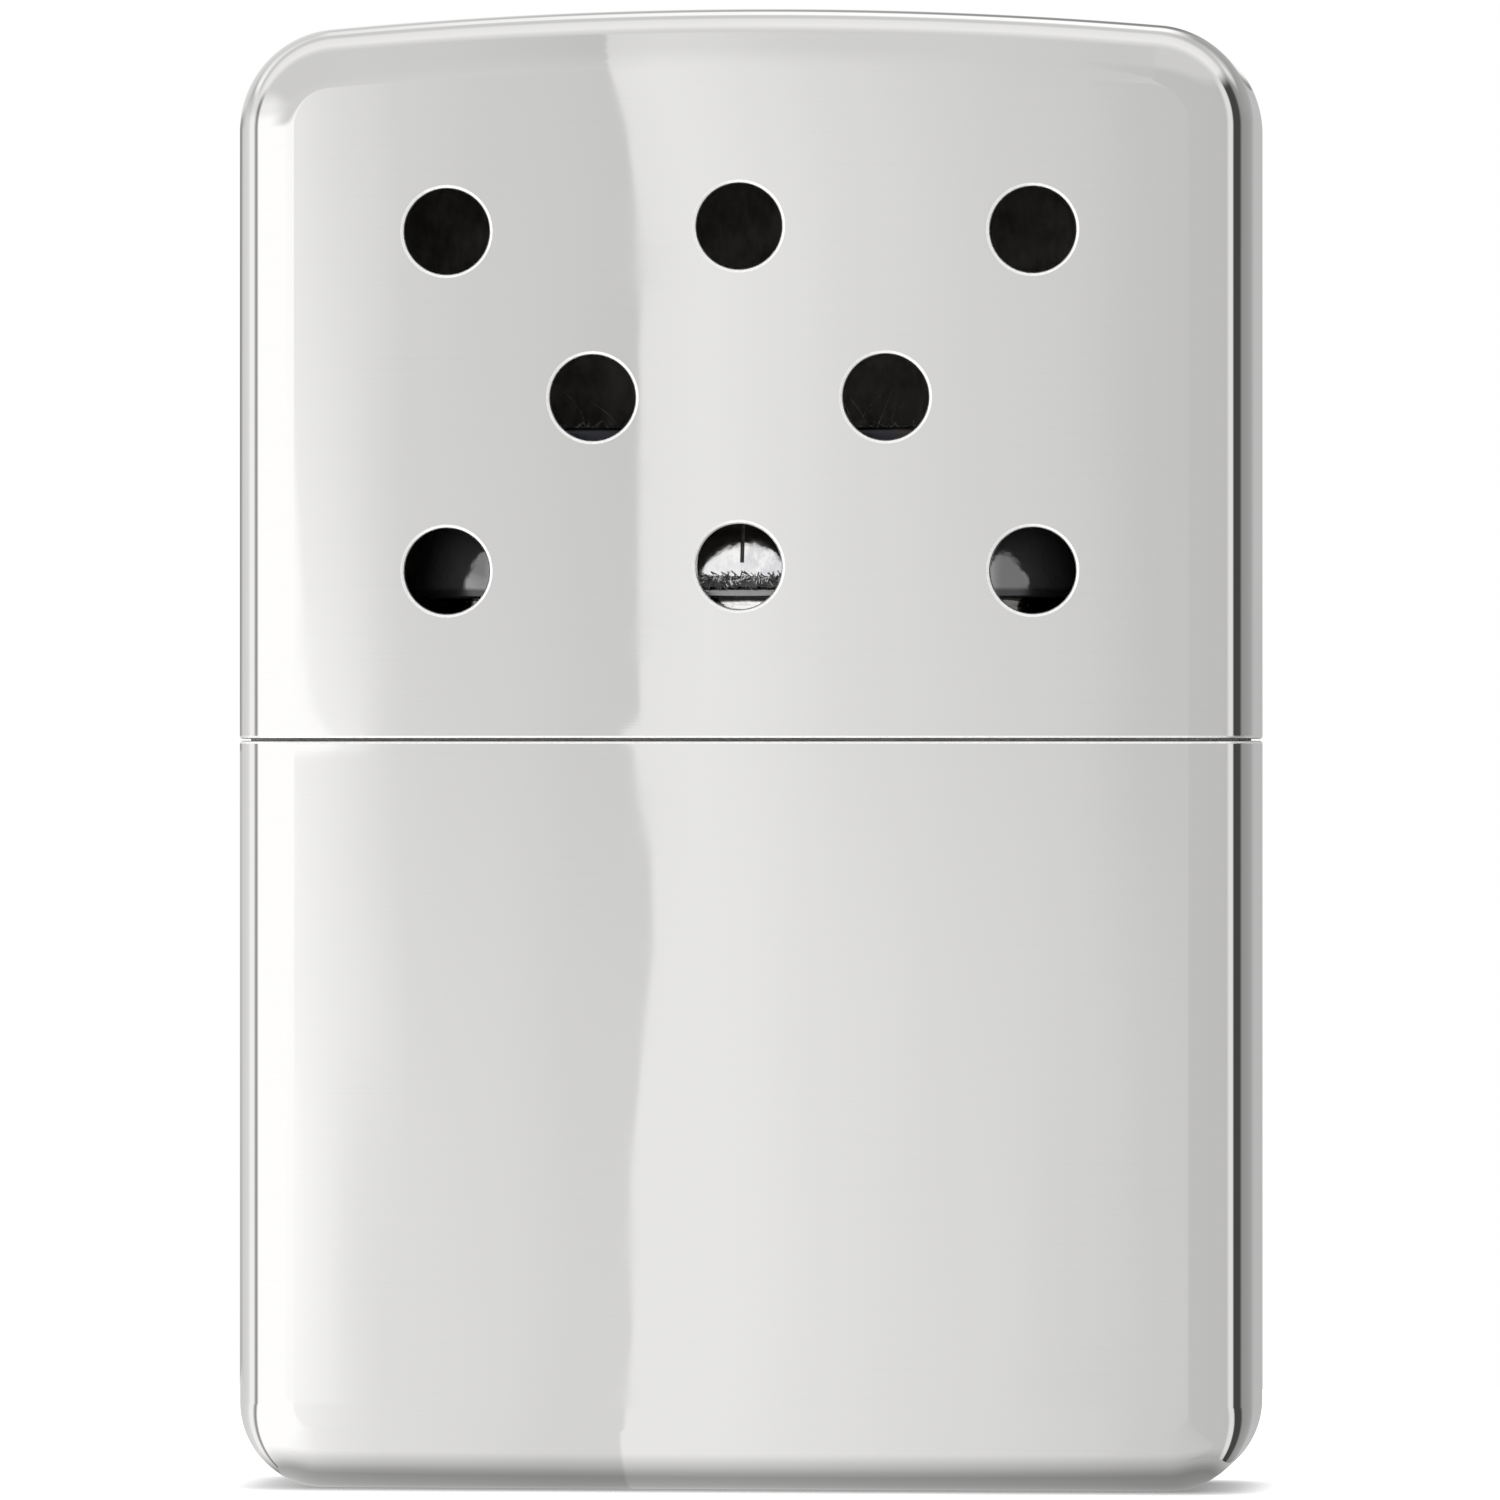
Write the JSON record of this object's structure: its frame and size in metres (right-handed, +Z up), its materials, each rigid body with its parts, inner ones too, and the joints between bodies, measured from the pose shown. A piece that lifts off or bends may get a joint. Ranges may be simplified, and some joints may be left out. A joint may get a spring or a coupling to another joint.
{
  "type": "catalytic hand warmer",
  "caption": "Pocket hand warmer in polished metal: a vented lid slides off a cotton-packed fuel tank with a filler neck and a pull-off catalytic burner.",
  "frame": {"origin": "middle of the flat bottom on which the case stands", "axes": "+Z up through the lid, +X across the width, +Y from the vented front to the plain back"},
  "size_m": [0.049, 0.014, 0.0712],
  "materials": {
    "case_lid": "mirror polish with fine hairline scratches",
    "case_tank": "mirror polish with fine hairline scratches",
    "deck": "bright plating with sliding marks",
    "neck": "bright plating",
    "cotton": "loose cotton fibre",
    "burner_foot": "pressed stainless steel",
    "diffuser": "punched stainless steel",
    "glass_wool": "platinum-coated glass wool",
    "glass_cloth": "woven glass, frayed at its edge",
    "burner_cage": "bright rolled stainless strip",
    "burner_cap": "pressed stainless steel, darkened by heat"
  },
  "bodies": {
    "tank": {"tank_shell": "case_tank", "tank_top": "deck", "filler_neck": "neck", "fuel_cotton": "cotton"},
    "burner": {"burner_base": "burner_foot", "diffuser_plate": "diffuser", "catalyst_wool": "glass_wool", "catalyst_cloth": "glass_cloth", "burner_band": "burner_cage", "burner_grille": "burner_cap"},
    "lid": {"lid_shell": "case_lid"}
  },
  "joints": [
    {"name": "lid_lift", "type": "slide", "parent": "tank", "child": "lid", "axis": [0, 0, 1], "range_m": [0, 0.032]},
    {"name": "burner_lift", "type": "slide", "parent": "tank", "child": "burner", "axis": [0, 0, 1], "range_m": [0, 0.012]}
  ]
}
